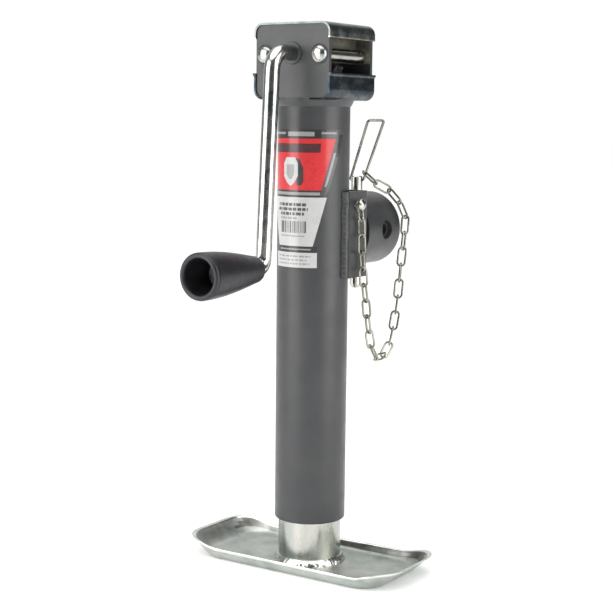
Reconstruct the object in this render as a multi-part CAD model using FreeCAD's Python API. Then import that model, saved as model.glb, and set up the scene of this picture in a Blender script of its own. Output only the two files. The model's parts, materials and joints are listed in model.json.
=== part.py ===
"""Side-wind trailer tongue jack: tube, ram, bevel drive, crank, swivel pipe mount, pull pin and chain.

Millimetres. +Z is up, the origin is on the tube's axis on the ground under the foot.
The crank shaft leaves the gear housing towards -Y and the pipe mount stands out towards +Y.
"""
import FreeCAD, Part
import math
import os

from FreeCAD import Rotation, Vector

# ---------------------------------------------------------------- driving dimensions
TUBE_R = 28.575            # outer tube, 2 1/4 in
TUBE_WALL = 2.4
TUBE_BOTTOM_Z = 38.5
TUBE_TOP_Z = 392.0
RAM_R = 25.4               # inner tube, 2 in
RAM_WALL = 2.4
RAM_TOP_Z = 345.0
SHEET = 1.5                # zinc-plated cover sheet
RUN = 0.05                 # radial clearance of every running fit
GAP = 0.4                  # clearance between pieces that only pass each other

FOOT_LENGTH = 202.0
FOOT_WIDTH = 92.0
FOOT_SHEET = 3.0
FOOT_CORNER = 27.0
FOOT_FLOOR_CORNER = 20.0
FOOT_END_FLARE = 18.0      # each end sweeps out by this much over its height
FOOT_SIDE_FLARE = 6.0
FOOT_WALL_HEIGHT = 10.0
FOOT_TIP_HEIGHT = 15.5
FOOT_LEVEL_X = 68.0        # the rim is level up to here and rises to the tips beyond

PLATE_HALF_WIDTH = 33.6
PLATE_THICK = 3.2
PLATE_BOTTOM_Z = 376.3
PLATE_TOP_Z = 432.0
PLATE_CORNER = 6.5
COVER_OVERHANG = 1.2
TOP_LIP_Z = 421.3
BOTTOM_LIP_Z = 395.0
RIVET_X = 25.0
RIVET_Z = 409.0

SHAFT_R = 6.1              # crank rod
SHAFT_END_R = 5.0          # turned end inside the housing
SHAFT_STEP_Y = -27.3
SHAFT_Z = 410.0
SHAFT_REAR_Y = 37.5
ARM_TOP_Y = -57.8
ARM_BOTTOM_Y = -68.6
GRIP_Z = 247.0
UPPER_BEND_R = 15.0
LOWER_BEND_R = 8.5
GRIP_INNER_Y = -79.2
GRIP_OUTER_Y = -149.0
GRIP_SMALL_R = 8.9
GRIP_LARGE_R = 17.6
GRIP_BORE_END_Y = -122.0

MODULE = 2.2               # bevel pair, 2 : 1
GEAR_TEETH = 20
PINION_TEETH = 10
FACE_WIDTH = 7.0
PRESSURE_ANGLE = math.radians(25)
BACKLASH = 0.35

SCREW_R = 9.5
SCREW_BOTTOM_Z = 60.0
JOURNAL_R = 8.0
RACE_Z = 356.0             # underside of the thrust bearing
RACE_THICK = 2.5
RACE_R = 18.0
BALL_R = 3.0
BALL_PITCH_R = 13.6
BALL_COUNT = 10

BRACKET_BOTTOM_Z = 235.5
BRACKET_TOP_Z = 304.0
BRACKET_THICK = 4.5
BRACKET_FRONT_Y = 1.7
SLEEVE_R = 30.15           # 2 in nominal pipe
SLEEVE_WALL = 3.9
SLEEVE_Z = 270.4
SLEEVE_END_Y = 88.0
STUB_R = 26.15
STUB_WALL = 4.5
STUB_END_Y = 93.0
STUB_SPIGOT_R = 25.4
STUB_SPIGOT_Y = 84.0
PIN_R = 4.75
PIN_Y = 66.0
PIN_BOTTOM_Z = 220.5
PIN_TOP_Z = 313.8
SIDE_HOLE_R = 7.8
HANDLE_WIRE_R = 1.1
HANDLE_Z = 310.6
HANDLE_LENGTH = 57.5
HANDLE_LOW_HALF = 6.4
HANDLE_TOP_HALF = 7.9
HANDLE_LEAN = 31.0

LINK_COUNT = 24            # even, so that the two end links lie a quarter turn apart
LINK_WIRE_R = 0.85
LINK_WIDTH = 8.0
LINK_GAP = 0.6
CHAIN_RIVET = Vector(33.1, 11.8, 293.5)
# Hand-picked route of the hanging chain, from the pull pin's handle to the chain rivet.
CHAIN_ROUTE = [
    (4.8, 69.4, 316.7), (12.5, 71.5, 309.4), (22.0, 81.5, 302.3), (30.5, 84.5, 292.5), (36.8, 85.0, 279.5),
    (37.2, 81.5, 262.0), (37.2, 77.5, 243.0), (37.2, 74.5, 222.0), (37.2, 71.0, 205.0), (37.2, 66.0, 189.0),
    (37.2, 60.0, 174.5), (37.2, 48.5, 165.0), (37.2, 37.5, 168.5), (37.3, 30.0, 180.0), (37.4, 25.5, 196.0),
    (37.6, 21.5, 214.0), (37.8, 16.5, 234.0), (37.9, 13.5, 254.0), (37.9, 12.5, 272.0), (37.6, 12.2, 282.5),
    (35.7, 11.8, 295.3),
]

CHAIN_ROLL = [(0, 30), (8, -30), (20, -30), (23, 0)]    # link number, degrees about the chain

UP = Vector(0, 0, 1)
REAR = Vector(0, 1, 0)
RIGHT = Vector(1, 0, 0)


# ---------------------------------------------------------------- small helpers
def rod(radius, start, direction, length):
    """Solid cylinder from a point along a direction."""
    return Part.makeCylinder(radius, length, Vector(*start), Vector(*direction))


def ring(outer, inner, start, direction, length):
    """Hollow cylinder."""
    return rod(outer, start, direction, length).cut(rod(inner, start, direction, length))


def box(low, high):
    """Box between two corners."""
    size = [b - a for a, b in zip(low, high)]
    return Part.makeBox(size[0], size[1], size[2], Vector(*low))


def turned(points, origin=(0, 0, 0), axis=(0, 0, 1)):
    """Solid of revolution of an (r, z) outline, moved so that its z axis lies along the given axis."""
    outline = Part.makePolygon([Vector(r, 0, z) for r, z in points + points[:1]])
    solid = Part.Face(outline).revolve(Vector(), UP, 360)
    solid.Placement = FreeCAD.Placement(Vector(*origin), Rotation(UP, Vector(*axis)))
    return solid


def rounded_outline(half_x, half_y, radius):
    """Closed wire of a rounded rectangle in the XY plane."""
    plate = Part.makeBox(2 * half_x, 2 * half_y, 1, Vector(-half_x, -half_y, 0))
    upright = [e for e in plate.Edges if abs(e.tangentAt(e.FirstParameter).z) > 0.9]
    plate = plate.makeFillet(radius, upright)
    return [f for f in plate.Faces if abs(f.CenterOfMass.z) < 1e-6][0].OuterWire


def rounded_plate(half_x, low_z, high_z, low_y, thick, radius):
    """Upright plate in the XZ plane with rounded corners."""
    half_z = (high_z - low_z) / 2
    face = Part.Face(rounded_outline(half_x, half_z, radius))
    plate = face.extrude(Vector(0, 0, thick))
    plate.rotate(Vector(), RIGHT, 90)
    plate.translate(Vector(0, low_y + thick, (low_z + high_z) / 2))
    return plate


def one_solid(shape):
    """The single solid of a boolean result, with its seams merged."""
    clean = shape.removeSplitter()
    return clean.Solids[0] if len(clean.Solids) == 1 else clean


def swept(points, radius, bends):
    """Round bar along straight runs joined by tangent arcs; bends gives the arc radius at each inner point."""
    points = [Vector(*p) for p in points]
    edges = []
    at = points[0]
    for before, corner, after, bend in zip(points, points[1:], points[2:], bends):
        into = (corner - before).normalize()
        out = (after - corner).normalize()
        half = into.getAngle(out) / 2
        run = bend * math.tan(half)
        start = corner - into * run
        end = corner + out * run
        inward = (out - into).normalize()
        middle = corner + inward * (bend / math.cos(half) - bend)
        edges.append(Part.LineSegment(at, start).toShape())
        edges.append(Part.Arc(start, middle, end).toShape())
        at = end
    edges.append(Part.LineSegment(at, points[-1]).toShape())
    spine = Part.Wire(edges)
    section = Part.Wire(Part.makeCircle(radius, points[0], points[1] - points[0]))
    return spine.makePipeShell([section], True, False)


# ---------------------------------------------------------------- tubes and foot
def outer_tube():
    height = TUBE_TOP_Z - TUBE_BOTTOM_Z
    tube = rod(TUBE_R, (0, 0, TUBE_BOTTOM_Z), UP, height)
    rim = [e for e in tube.Edges if e.Closed and abs(e.CenterOfMass.z - TUBE_BOTTOM_Z) < 1e-6]
    tube = tube.makeFillet(1.6, rim)
    return tube.cut(rod(TUBE_R - TUBE_WALL, (0, 0, TUBE_BOTTOM_Z), UP, height))


def head_weld():
    """Flared collar of weld between the tube and the housing's underside."""
    top = PLATE_BOTTOM_Z
    return turned([(TUBE_R, top - 6.6), (TUBE_R + 1.0, top - 5.4), (TUBE_R + 2.4, top - 2.6),
                   (TUBE_R + PLATE_THICK, top), (TUBE_R, top)])


def guide_bush():
    return ring(TUBE_R - TUBE_WALL, RAM_R + RUN, (0, 0, TUBE_BOTTOM_Z + 4), UP, 20)


def inner_tube():
    """Ram tube; three holes near its top take the pins that hold the nut."""
    tube = ring(RAM_R, RAM_R - RAM_WALL, (0, 0, FOOT_SHEET), UP, RAM_TOP_Z - FOOT_SHEET)
    return tube.cut(Part.makeCompound(nut_pins()))


def nut_pins():
    pins = []
    for step in range(3):
        angle = math.radians(90 + 120 * step)
        way = Vector(math.cos(angle), math.sin(angle), 0)
        start = way * 17.0 + Vector(0, 0, RAM_TOP_Z - 13)
        pins.append(rod(2.5, start, way, RAM_R - 0.3 - 17.0))
    return pins


def lead_nut():
    nut = ring(RAM_R - RAM_WALL, SCREW_R + RUN, (0, 0, RAM_TOP_Z - 23), UP, 20)
    return nut.cut(Part.makeCompound(nut_pins()))


def foot_prism(inset, base_z, top_z):
    """Rounded block that widens upwards like the drawn pan, shrunk sideways by inset."""
    low = rounded_outline(FOOT_LENGTH / 2 - FOOT_END_FLARE - inset, FOOT_WIDTH / 2 - FOOT_SIDE_FLARE - inset,
                          FOOT_FLOOR_CORNER - inset)
    high = rounded_outline(FOOT_LENGTH / 2 - inset, FOOT_WIDTH / 2 - inset, FOOT_CORNER - inset)
    low.translate(Vector(0, 0, base_z))
    high.translate(Vector(0, 0, top_z))
    return Part.makeLoft([low, high], True, True)


def foot_pan():
    """Drawn ski pan: flat floor, low long walls and both ends swept up."""
    pan = foot_prism(0, 0, FOOT_TIP_HEIGHT)
    pan = pan.cut(foot_prism(FOOT_SHEET * 0.8, FOOT_SHEET, FOOT_TIP_HEIGHT + FOOT_SHEET))
    half = FOOT_LENGTH / 2
    rise = FOOT_TIP_HEIGHT - FOOT_WALL_HEIGHT
    above = FOOT_TIP_HEIGHT + 20
    steps = [0.0, 0.2, 0.4, 0.6, 0.8, 1.0]
    slope = [(FOOT_LEVEL_X + (half - 6 - FOOT_LEVEL_X) * t, FOOT_WALL_HEIGHT + rise * t * t * (3 - 2 * t))
             for t in steps]
    right = slope + [(half + 1, FOOT_TIP_HEIGHT), (half + 1, above)]
    points = [Vector(-x, 0, z) for x, z in right[::-1]] + [Vector(x, 0, z) for x, z in right]
    trim = Part.Face(Part.makePolygon(points + points[:1])).extrude(Vector(0, 2 * FOOT_WIDTH, 0))
    trim.translate(Vector(0, -FOOT_WIDTH, 0))
    return pan.cut(trim)


def foot_weld():
    base = FOOT_SHEET
    return turned([(RAM_R, base), (RAM_R + 5.0, base), (RAM_R + 3.4, base + 2.2), (RAM_R + 1.2, base + 4.2),
                   (RAM_R, base + 5.4)])


# ---------------------------------------------------------------- gear housing
def housing_plate(side):
    """Front (side -1) or rear (side +1) plate, drilled for the rivets and the shaft bush."""
    inner = side * TUBE_R
    low_y = min(inner, inner + side * PLATE_THICK)
    plate = rounded_plate(PLATE_HALF_WIDTH, PLATE_BOTTOM_Z, PLATE_TOP_Z, low_y, PLATE_THICK, PLATE_CORNER)
    holes = [rod(4.0, (x, low_y - 1, RIVET_Z), REAR, PLATE_THICK + 2) for x in (-RIVET_X, RIVET_X)]
    holes.append(rod(7.5, (0, low_y - 1, SHAFT_Z), REAR, PLATE_THICK + 2))
    return plate.cut(Part.makeCompound(holes))


def cover_shell(outset_bottom_z, outset_top_z):
    """Thin rounded tube of sheet around the plates' edge, open at front and rear."""
    reach = TUBE_R + PLATE_THICK + COVER_OVERHANG
    outer = rounded_plate(PLATE_HALF_WIDTH + SHEET, outset_bottom_z, outset_top_z, -reach, 2 * reach,
                          PLATE_CORNER + SHEET)
    inner = rounded_plate(PLATE_HALF_WIDTH, outset_bottom_z + SHEET, outset_top_z - SHEET, -reach, 2 * reach,
                          PLATE_CORNER)
    return outer.cut(inner)


def top_cover():
    shell = cover_shell(PLATE_BOTTOM_Z - SHEET, PLATE_TOP_Z + SHEET)
    return shell.common(box((-60, -60, TOP_LIP_Z), (60, 60, PLATE_TOP_Z + 10)))


def bottom_cover():
    """Lower channel with a hole for the tube, notched below the plates, with a turned-out lip on each side wall."""
    shell = cover_shell(PLATE_BOTTOM_Z - SHEET, PLATE_TOP_Z + SHEET)
    channel = shell.common(box((-60, -60, 0), (60, 60, BOTTOM_LIP_Z)))
    reach = TUBE_R + PLATE_THICK + COVER_OVERHANG
    edge = PLATE_HALF_WIDTH + SHEET
    for side in (-1, 1):
        outline = [(edge - SHEET, BOTTOM_LIP_Z - 1.5), (edge, BOTTOM_LIP_Z - 2.6), (edge + 1.2, BOTTOM_LIP_Z - 1.2),
                   (edge + 1.2, BOTTOM_LIP_Z), (edge - SHEET, BOTTOM_LIP_Z)]
        lip = Part.Face(Part.makePolygon([Vector(side * x, -reach, z) for x, z in outline + outline[:1]]))
        channel = channel.fuse(lip.extrude(Vector(0, 2 * reach, 0)))
    channel = channel.cut(rod(TUBE_R + PLATE_THICK, (0, 0, 0), UP, PLATE_BOTTOM_Z))
    channel = channel.cut(rod(TUBE_R, (0, 0, 0), UP, 500))
    half_notch = PLATE_HALF_WIDTH - PLATE_CORNER
    for side in (-1, 1):
        ends = sorted((side * TUBE_R, side * (reach + 1)))
        channel = channel.cut(box((-half_notch, ends[0], 0), (half_notch, ends[1], PLATE_BOTTOM_Z)))
    return one_solid(channel)


def housing_rivets():
    """Two headed rivets through both plates."""
    face = TUBE_R + PLATE_THICK
    dome = [(6.2 * math.sin(math.radians(a)), face + 1.0 + 3.6 * math.cos(math.radians(a))) for a in range(0, 91, 10)]
    head = dome + [(7.5, face + 0.9), (7.9, face + 0.4), (7.9, face)]
    outline = [(r, -y) for r, y in head] + [(4.0, -face), (4.0, face)] + head[::-1]
    return [turned(outline, (x, 0, RIVET_Z), REAR) for x in (-RIVET_X, RIVET_X)]


def rivet_spacers():
    return [ring(5.2, 4.0, (x, -TUBE_R, RIVET_Z), REAR, 2 * TUBE_R) for x in (-RIVET_X, RIVET_X)]


def shaft_bush(side, shaft_r):
    """Flanged bush that carries the crank shaft in a housing plate."""
    face = TUBE_R + PLATE_THICK
    outline = [(shaft_r + RUN, TUBE_R - 1.3), (7.5, TUBE_R - 1.3), (7.5, face), (8.6, face),
               (8.6, face + 1.0), (8.1, face + 1.6), (shaft_r + RUN, face + 1.6)]
    return turned(outline, (0, 0, SHAFT_Z), (0, side, 0))


# ---------------------------------------------------------------- bevel gears
def tooth_profile(pitch_r, virtual_teeth, height_up, height_down):
    """Outline of one tooth on the back cone: pairs (across, outward from the pitch line)."""
    virtual_r = MODULE * virtual_teeth / 2
    base_r = virtual_r * math.cos(PRESSURE_ANGLE)
    half_thick = math.pi * MODULE / 4 - BACKLASH / 2

    def involute(radius):
        ratio = max(radius, base_r) / base_r
        return math.sqrt(ratio * ratio - 1) - math.acos(1 / ratio)

    flank = []
    for step in range(7):
        radius = virtual_r - height_down + (height_up + height_down) * step / 6
        angle = half_thick / virtual_r + involute(virtual_r) - involute(radius)
        flank.append((radius * math.sin(angle), radius * math.cos(angle) - virtual_r))
    return [(-across, out) for across, out in flank] + flank[::-1]


def bevel_gear(teeth, mate_teeth, hub_outline, bore_r, phase):
    """Straight bevel gear about +Z with its cone apex at the origin and its teeth facing +Z.

    The heel pitch circle lies at z = -(mate pitch radius). hub_outline is (r, z) of the turned body.
    """
    pitch_r = MODULE * teeth / 2
    mate_r = MODULE * mate_teeth / 2
    cone = math.atan2(pitch_r, mate_r)
    distance = math.hypot(pitch_r, mate_r)
    addendum = 0.8 * MODULE
    dedendum = 1.05 * MODULE
    profile = tooth_profile(pitch_r, teeth / math.cos(cone), addendum, dedendum + 0.3)
    outward = Vector(math.cos(cone), 0, math.sin(cone))
    heel = Vector(pitch_r, 0, -mate_r)

    def section(scale):
        points = [(heel + Vector(0, across, 0) + outward * out) * scale for across, out in profile]
        return Part.makePolygon(points + points[:1])

    toe_scale = (distance - FACE_WIDTH) / distance
    tooth = Part.makeLoft([section(toe_scale), section(1.0)], True, True)
    root = [heel - outward * dedendum, (heel - outward * dedendum) * toe_scale]
    blank = turned([(root[0].x, root[0].z)] + hub_outline + [(bore_r, root[1].z), (root[1].x, root[1].z)])
    solids = [tooth.rotated(Vector(), UP, phase + 360 * k / teeth) for k in range(teeth)]
    gear = blank.multiFuse(solids)
    return one_solid(gear.cut(rod(bore_r, (0, 0, -60), UP, 120)))


def gear_pin_hole():
    return rod(2.0, (-11.7, 0, 382.0), RIGHT, 23.4)


def screw_gear():
    """Wheel on the screw; a tooth space faces the pinion."""
    hub = [(19.0, -14.6), (12.0, -14.6), (12.0, -34.5), (JOURNAL_R, -34.5)]
    gear = bevel_gear(GEAR_TEETH, PINION_TEETH, hub, JOURNAL_R, 90 + 180 / GEAR_TEETH)
    gear.translate(Vector(0, 0, SHAFT_Z))
    return gear.cut(gear_pin_hole())


def pinion_pin_hole():
    return rod(1.25, (-8.7, -24.6, SHAFT_Z), RIGHT, 17.4)


def pinion_gear():
    """Pinion on the crank shaft; a tooth points down into the wheel."""
    hub = [(9.0, -22.6), (9.0, -26.9), (SHAFT_END_R, -26.9)]
    gear = bevel_gear(PINION_TEETH, GEAR_TEETH, hub, SHAFT_END_R, 90)
    gear.rotate(Vector(), RIGHT, -90)
    gear.translate(Vector(0, 0, SHAFT_Z))
    return gear.cut(pinion_pin_hole())


# ---------------------------------------------------------------- screw and thrust bearing
def support_plate():
    top = RACE_Z + 2 * RACE_THICK + 2 * BALL_R + RUN
    return ring(TUBE_R - TUBE_WALL, 10.5, (0, 0, top), UP, 6)


def screw_bush():
    top = RACE_Z + 2 * RACE_THICK + 2 * BALL_R + RUN
    return ring(10.5, JOURNAL_R + RUN, (0, 0, top), UP, 6)


def lower_race():
    return ring(RACE_R, JOURNAL_R, (0, 0, RACE_Z), UP, RACE_THICK)


def upper_race():
    low = RACE_Z + RACE_THICK + 2 * BALL_R + RUN
    return ring(RACE_R, JOURNAL_R + GAP, (0, 0, low), UP, RACE_THICK)


def ball_centres():
    turn = 2 * math.pi / BALL_COUNT
    height = RACE_Z + RACE_THICK + BALL_R
    return [Vector(BALL_PITCH_R * math.cos(k * turn), BALL_PITCH_R * math.sin(k * turn), height)
            for k in range(BALL_COUNT)]


def bearing_balls():
    return [Part.makeSphere(BALL_R, centre) for centre in ball_centres()]


def ball_cage():
    height = RACE_Z + RACE_THICK + BALL_R
    cage = ring(RACE_R - 0.4, JOURNAL_R + 1.4, (0, 0, height - 1), UP, 2)
    pockets = [rod(BALL_R + 0.1, (c.x, c.y, height - 2), UP, 4) for c in ball_centres()]
    return cage.cut(Part.makeCompound(pockets))


def stop_pin():
    return rod(2.0, (-12.0, 0, SCREW_BOTTOM_Z + 4), RIGHT, 24)


def lead_screw():
    """Screw at its thread's outer radius, a thrust shoulder and a turned journal for the gear."""
    screw = turned([(0, SCREW_BOTTOM_Z), (SCREW_R - 1.5, SCREW_BOTTOM_Z), (SCREW_R, SCREW_BOTTOM_Z + 1.5),
                    (SCREW_R, RACE_Z - 5), (13.0, RACE_Z - 5), (13.0, RACE_Z), (JOURNAL_R, RACE_Z),
                    (JOURNAL_R, SHAFT_Z - 8.5), (JOURNAL_R - 1, SHAFT_Z - 7.5), (0, SHAFT_Z - 7.5)])
    return screw.cut(Part.makeCompound([gear_pin_hole(), stop_pin()]))


def stop_ring():
    return ring(13.0, SCREW_R, (0, 0, SCREW_BOTTOM_Z + 1.5), UP, 5).cut(stop_pin())


# ---------------------------------------------------------------- crank and grip
def crank_rod():
    """One bent bar: shaft, arm and the axle inside the grip."""
    route = [(0, SHAFT_REAR_Y, SHAFT_Z), (0, ARM_TOP_Y, SHAFT_Z), (0, ARM_BOTTOM_Y, GRIP_Z), (0, -126.5, GRIP_Z)]
    bar = swept(route, SHAFT_R, [UPPER_BEND_R, LOWER_BEND_R])
    turned_end = ring(SHAFT_R + 1, SHAFT_END_R, (0, SHAFT_STEP_Y, SHAFT_Z), REAR, SHAFT_REAR_Y + 1 - SHAFT_STEP_Y)
    groove = ring(SHAFT_R + 1, SHAFT_END_R - 0.8, (0, TUBE_R + PLATE_THICK + 3.2, SHAFT_Z), REAR, 1.4)
    return bar.cut(turned_end).cut(Part.makeCompound([pinion_pin_hole(), groove]))


def shaft_washer():
    start = TUBE_R + PLATE_THICK + 1.6 + GAP
    return ring(8.5, SHAFT_END_R, (0, start, SHAFT_Z), REAR, 1.1)


def shaft_clip():
    """Open retaining ring in the shaft's groove."""
    start = (0, TUBE_R + PLATE_THICK + 3.25, SHAFT_Z)
    clip = ring(7.8, SHAFT_END_R - 0.8, start, REAR, 1.2)
    return clip.cut(box((-2.6, 30, SHAFT_Z), (2.6, 40, SHAFT_Z + 12)))


def grip():
    """Hollow tapered sleeve that turns on the axle, with an open outer end."""
    length = GRIP_INNER_Y - GRIP_OUTER_Y
    web = GRIP_INNER_Y - GRIP_BORE_END_Y
    bore = SHAFT_R + RUN
    outline = [(bore, 0), (GRIP_SMALL_R - 1, 0), (GRIP_SMALL_R, 1.2), (10.2, 14), (12.2, 30), (14.4, 44),
               (16.4, 56), (17.3, 62), (GRIP_LARGE_R, length - 4), (17.0, length - 1.2), (15.6, length),
               (13.6, length), (12.8, length - 1.4), (11.4, web), (bore, web)]
    return turned(outline, (0, GRIP_INNER_Y, GRIP_Z), (0, -1, 0))


def grip_push_nut():
    return ring(9.2, SHAFT_R, (0, GRIP_BORE_END_Y - GAP - 1.2, GRIP_Z), REAR, 1.2)


# ---------------------------------------------------------------- swivel pipe mount
def swivel_bracket():
    """Channel welded around the tube's rear half; its web carries the sleeve."""
    outer_x = TUBE_R + BRACKET_THICK
    web = TUBE_R + BRACKET_THICK
    block = box((-outer_x, BRACKET_FRONT_Y, BRACKET_BOTTOM_Z), (outer_x, web, BRACKET_TOP_Z))
    corners = [e for e in block.Edges
               if abs(e.tangentAt(e.FirstParameter).z) > 0.9 and e.CenterOfMass.y > 20]
    block = block.makeFillet(7.0, corners)
    room = box((-TUBE_R, -1, 0), (TUBE_R, TUBE_R, 500))
    inside = [e for e in room.Edges
              if abs(e.tangentAt(e.FirstParameter).z) > 0.9 and e.CenterOfMass.y > 20]
    room = room.makeFillet(3.0, inside)
    return block.cut(room).cut(rivet_shank())


def bracket_welds():
    """Fillet beads along the bracket's two front edges."""
    beads = []
    for side in (-1, 1):
        outline = [(TUBE_R - 0.15, BRACKET_FRONT_Y), (TUBE_R + 4.3, BRACKET_FRONT_Y), (TUBE_R + 3.8, 0.0),
                   (TUBE_R + 2.4, -1.6), (TUBE_R - 0.15, -3.6)]
        points = [Vector(side * x, y, BRACKET_BOTTOM_Z + 0.5) for x, y in outline]
        height = BRACKET_TOP_Z - BRACKET_BOTTOM_Z - 1.0
        bead = Part.Face(Part.makePolygon(points + points[:1])).extrude(Vector(0, 0, height))
        beads.append(bead.cut(rod(TUBE_R, (0, 0, 0), UP, 500)))
    return beads


def lock_holes(upright_r, side_r):
    """Two crossed through holes at the pull pin's distance from the tube."""
    upright = rod(upright_r, (0, PIN_Y, SLEEVE_Z - 50), UP, 100)
    across = rod(side_r, (-50, PIN_Y, SLEEVE_Z), RIGHT, 100)
    return Part.makeCompound([upright, across])


def swivel_sleeve():
    start = TUBE_R + BRACKET_THICK
    sleeve = rod(SLEEVE_R, (0, start, SLEEVE_Z), REAR, SLEEVE_END_Y - start)
    rim = [e for e in sleeve.Edges if e.Closed and abs(e.CenterOfMass.y - SLEEVE_END_Y) < 1e-6]
    sleeve = sleeve.makeFillet(1.2, rim)
    sleeve = sleeve.cut(rod(SLEEVE_R - SLEEVE_WALL, (0, start, SLEEVE_Z), REAR, 80))
    groove = rod(SLEEVE_R - SLEEVE_WALL + 1.2, (0, 79.0, SLEEVE_Z), REAR, 2.0)
    return sleeve.cut(groove).cut(lock_holes(PIN_R + 0.5, SIDE_HOLE_R))


def sleeve_weld():
    start = TUBE_R + BRACKET_THICK
    bead = turned([(SLEEVE_R, 0), (SLEEVE_R + 2.8, 0), (SLEEVE_R + 1.8, 1.8), (SLEEVE_R, 3.2)],
                  (0, start, SLEEVE_Z), REAR)
    sides = box((-TUBE_R - 4.4, start, SLEEVE_Z - 60), (TUBE_R + 4.4, start + 5, SLEEVE_Z + 60))
    return bead.common(sides)


def mounting_stub():
    """Pipe that the sleeve turns on; its turned spigot is welded to the trailer."""
    start = TUBE_R + BRACKET_THICK + 2
    stub = turned([(STUB_R - STUB_WALL, start), (STUB_R, start), (STUB_R, 79.0), (STUB_R - 1.4, 79.0),
                   (STUB_R - 1.4, 81.0), (STUB_R, 81.0), (STUB_R, STUB_SPIGOT_Y), (STUB_SPIGOT_R, STUB_SPIGOT_Y),
                   (STUB_SPIGOT_R, STUB_END_Y - 0.8), (STUB_SPIGOT_R - 0.8, STUB_END_Y), (STUB_R - STUB_WALL, STUB_END_Y)],
                  (0, 0, SLEEVE_Z), REAR)
    return stub.cut(lock_holes(PIN_R + 0.5, PIN_R + 0.5))


def stub_snap_ring():
    ring_solid = ring(SLEEVE_R - SLEEVE_WALL + 1.1, STUB_R - 1.3, (0, 79.1, SLEEVE_Z), REAR, 1.8)
    return ring_solid.cut(box((-3, 70, SLEEVE_Z - 40), (3, 90, SLEEVE_Z)))


# ---------------------------------------------------------------- pull pin, handle and chain
def pull_pin():
    pin = turned([(0, PIN_BOTTOM_Z), (PIN_R - 1.6, PIN_BOTTOM_Z), (PIN_R, PIN_BOTTOM_Z + 3), (PIN_R, PIN_TOP_Z - 0.8),
                  (PIN_R - 0.8, PIN_TOP_Z), (0, PIN_TOP_Z)], (0, PIN_Y, 0))
    cross = rod(HANDLE_WIRE_R + RUN, (-10, PIN_Y, HANDLE_Z), RIGHT, 20)
    return pin.cut(cross)


def pin_handle():
    """Wire loop whose two ends turn into the pin's cross hole."""
    low = HANDLE_LOW_HALF
    top = HANDLE_TOP_HALF
    route = [(0.4, 0, 0), (low, 0, 0), (top, 0, HANDLE_LENGTH), (-top, 0, HANDLE_LENGTH), (-low, 0, 0),
             (-0.4, 0, 0)]
    loop = swept(route, HANDLE_WIRE_R, [1.5, 2.6, 2.6, 1.5])
    loop.rotate(Vector(), RIGHT, -HANDLE_LEAN)
    loop.translate(Vector(0, PIN_Y, HANDLE_Z))
    return loop


def chain_joints():
    """Points where neighbouring links meet, evenly spaced along the route."""
    route = [Vector(*p) for p in CHAIN_ROUTE]
    pitch = chain_length() / LINK_COUNT
    joints = []
    travelled = 0.0
    for a, b in zip(route, route[1:]):
        run = (b - a).Length
        while len(joints) * pitch <= travelled + run + 1e-6 and len(joints) <= LINK_COUNT:
            joints.append(a + (b - a) * ((len(joints) * pitch - travelled) / run))
        travelled += run
    return joints


def chain_length():
    route = [Vector(*p) for p in CHAIN_ROUTE]
    return sum((b - a).Length for a, b in zip(route, route[1:]))


def chain_link():
    """Straight-sided oval link along +X, lying in the XY plane."""
    length = chain_length() / LINK_COUNT + 4 * LINK_WIRE_R + LINK_GAP
    bend = LINK_WIDTH / 2 - LINK_WIRE_R
    half = (length - LINK_WIDTH) / 2
    pieces = [rod(LINK_WIRE_R, (-half, side * bend, 0), RIGHT, 2 * half) for side in (-1, 1)]
    for side in (-1, 1):
        circle = Part.Face(Part.Wire(Part.makeCircle(LINK_WIRE_R, Vector(side * half, -bend, 0), RIGHT)))
        pieces.append(circle.revolve(Vector(side * half, 0, 0), Vector(0, 0, side), 180))
    return one_solid(pieces[0].multiFuse(pieces[1:]))


def link_roll(number):
    """How far a link is rolled about the chain, eased between the entries of CHAIN_ROLL."""
    for (low, first), (high, last) in zip(CHAIN_ROLL, CHAIN_ROLL[1:]):
        if number <= high:
            break
    return first + (last - first) * (number - low) / (high - low)


def tether_chain():
    """Oval links, each about a quarter turn about the chain from the one before."""
    joints = chain_joints()
    pattern = chain_link()
    links = []
    for number, (a, b) in enumerate(zip(joints, joints[1:])):
        along = (b - a).normalize()
        upright = along.cross(RIGHT).normalize()
        side = upright if number % 2 else along.cross(upright)
        side = Rotation(along, link_roll(number)).multVec(side)
        turn = Rotation(along, side, along.cross(side), "XYZ")
        links.append(pattern.copy())
        links[-1].Placement = FreeCAD.Placement((a + b) * 0.5, turn)
    return links


def rivet_shank():
    return rod(2.5, (CHAIN_RIVET.x - BRACKET_THICK, CHAIN_RIVET.y, CHAIN_RIVET.z), RIGHT, BRACKET_THICK)


def chain_rivet():
    """Headed rivet with a neck for the last link."""
    return turned([(0, -BRACKET_THICK), (2.5, -BRACKET_THICK), (2.5, 0), (1.6, 0), (1.6, 4.5), (4.4, 4.5),
                   (4.6, 5.2), (4.2, 6.2), (3.2, 7.1), (1.8, 7.6), (0, 7.8)],
                  (CHAIN_RIVET.x, CHAIN_RIVET.y, CHAIN_RIVET.z), RIGHT)


# ---------------------------------------------------------------- label
def label():
    """Film wrapped on the front of the tube: a wide banner above a narrower panel."""
    film = ring(TUBE_R + 0.25, TUBE_R, (0, 0, 240), UP, 120)
    outline = [(28.6, 352), (28.6, 345), (26.8, 345), (20.3, 305), (21.5, 305), (19.5, 299.7), (23.4, 299.7),
               (15.6, 261.5), (18.4, 261.5), (18.4, 244.6)]
    points = [Vector(x, -60, z) for x, z in outline] + [Vector(-x, -60, z) for x, z in outline[::-1]]
    window = Part.Face(Part.makePolygon(points + points[:1])).extrude(Vector(0, 60, 0))
    return film.common(window)


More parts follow.
